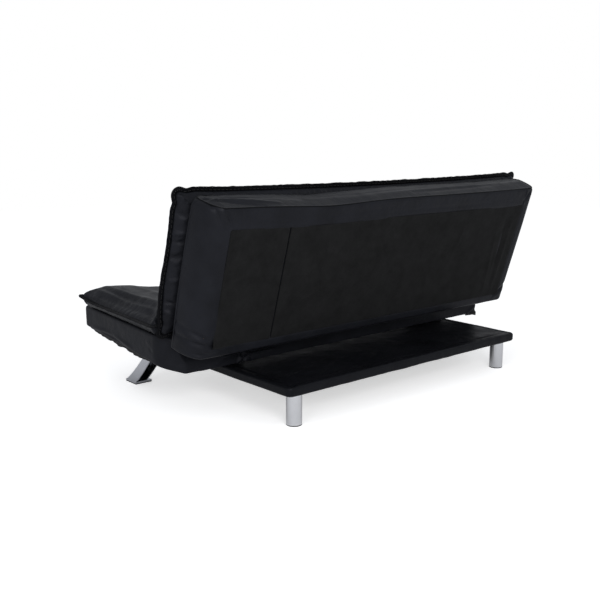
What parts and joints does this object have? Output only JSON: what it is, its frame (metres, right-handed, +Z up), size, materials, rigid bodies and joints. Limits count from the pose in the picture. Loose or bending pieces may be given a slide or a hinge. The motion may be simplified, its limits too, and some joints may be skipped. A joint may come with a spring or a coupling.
{
  "type": "click clack sofa bed",
  "caption": "Armless click clack sofa bed in black artificial leather, with splayed chrome front legs and a low rear platform that the backrest folds down onto.",
  "frame": {"origin": "on the floor, under the middle of the sofa's width and depth", "axes": "+X towards the sitter's left, which is the length of the sofa; +Y towards the rear, so the seat faces -Y; +Z up"},
  "size_m": [1.97, 1.056, 0.8813],
  "materials": {
    "leatherette": "black artificial leather with a slight sheen",
    "rear_fabric": "matt black woven fabric",
    "under_cloth": "black non-woven dust cloth",
    "chrome": "polished chrome plating",
    "steel": "plain steel",
    "timber": "sawn pine and plywood",
    "stained_timber": "plywood and battens stained black, seen from below",
    "foam": "upholstery foam",
    "glide_plastic": "black plastic"
  },
  "bodies": {
    "base": {"seat_box_cover": "leatherette", "seat_front_rail": "timber", "seat_rear_rail": "timber", "seat_centre_rail": "timber", "seat_end_rail_left": "timber", "seat_leg_board_left": "timber", "seat_end_rail_right": "timber", "seat_leg_board_right": "timber", "seat_spring_1": "steel", "seat_spring_2": "steel", "seat_spring_3": "steel", "seat_spring_4": "steel", "seat_spring_5": "steel", "seat_spring_6": "steel", "seat_foam": "foam", "seat_dust_cloth": "under_cloth", "seat_pad": "leatherette", "hinge_seat_plate_left": "steel", "hinge_pin_left": "steel", "pawl_pin_left": "steel", "pawl_spring_left": "steel", "hinge_seat_plate_right": "steel", "hinge_pin_right": "steel", "pawl_pin_right": "steel", "pawl_spring_right": "steel", "platform_cover": "leatherette", "platform_board": "stained_timber", "platform_bearer_left": "stained_timber", "platform_bearer_right": "stained_timber", "rear_leg_left": "chrome", "rear_glide_left": "glide_plastic", "rear_leg_stud_left": "steel", "rear_leg_right": "chrome", "rear_glide_right": "glide_plastic", "rear_leg_stud_right": "steel", "front_leg_left": "chrome", "front_glide_left": "glide_plastic", "front_leg_right": "chrome", "front_glide_right": "glide_plastic"},
    "backrest": {"back_box_cover": "leatherette", "back_rear_panel": "rear_fabric", "back_bottom_rail": "timber", "back_top_rail": "timber", "back_centre_stile": "timber", "back_end_stile_left": "timber", "back_panel_stile_left": "timber", "back_end_stile_right": "timber", "back_panel_stile_right": "timber", "back_spring_1": "steel", "back_spring_2": "steel", "back_spring_3": "steel", "back_spring_4": "steel", "back_foam": "foam", "back_pad": "leatherette", "hinge_back_plate_left": "steel", "hinge_back_plate_right": "steel"},
    "left_pawl": {"ratchet_pawl_left": "steel"},
    "right_pawl": {"ratchet_pawl_right": "steel"}
  },
  "joints": [
    {"name": "recline", "type": "hinge", "parent": "base", "child": "backrest", "pos_m": [0, 0.16, 0.292], "axis": [-1, 0, 0], "range_deg": [0, 73.5]},
    {"name": "left_pawl_pivot", "type": "hinge", "parent": "base", "child": "left_pawl", "pos_m": [0.8565, 0.09513, 0.25936], "axis": [1, 0, 0], "range_deg": [0, 6.5]},
    {"name": "right_pawl_pivot", "type": "hinge", "parent": "base", "child": "right_pawl", "pos_m": [-0.8565, 0.09513, 0.25936], "axis": [1, 0, 0], "range_deg": [0, 6.5]}
  ]
}
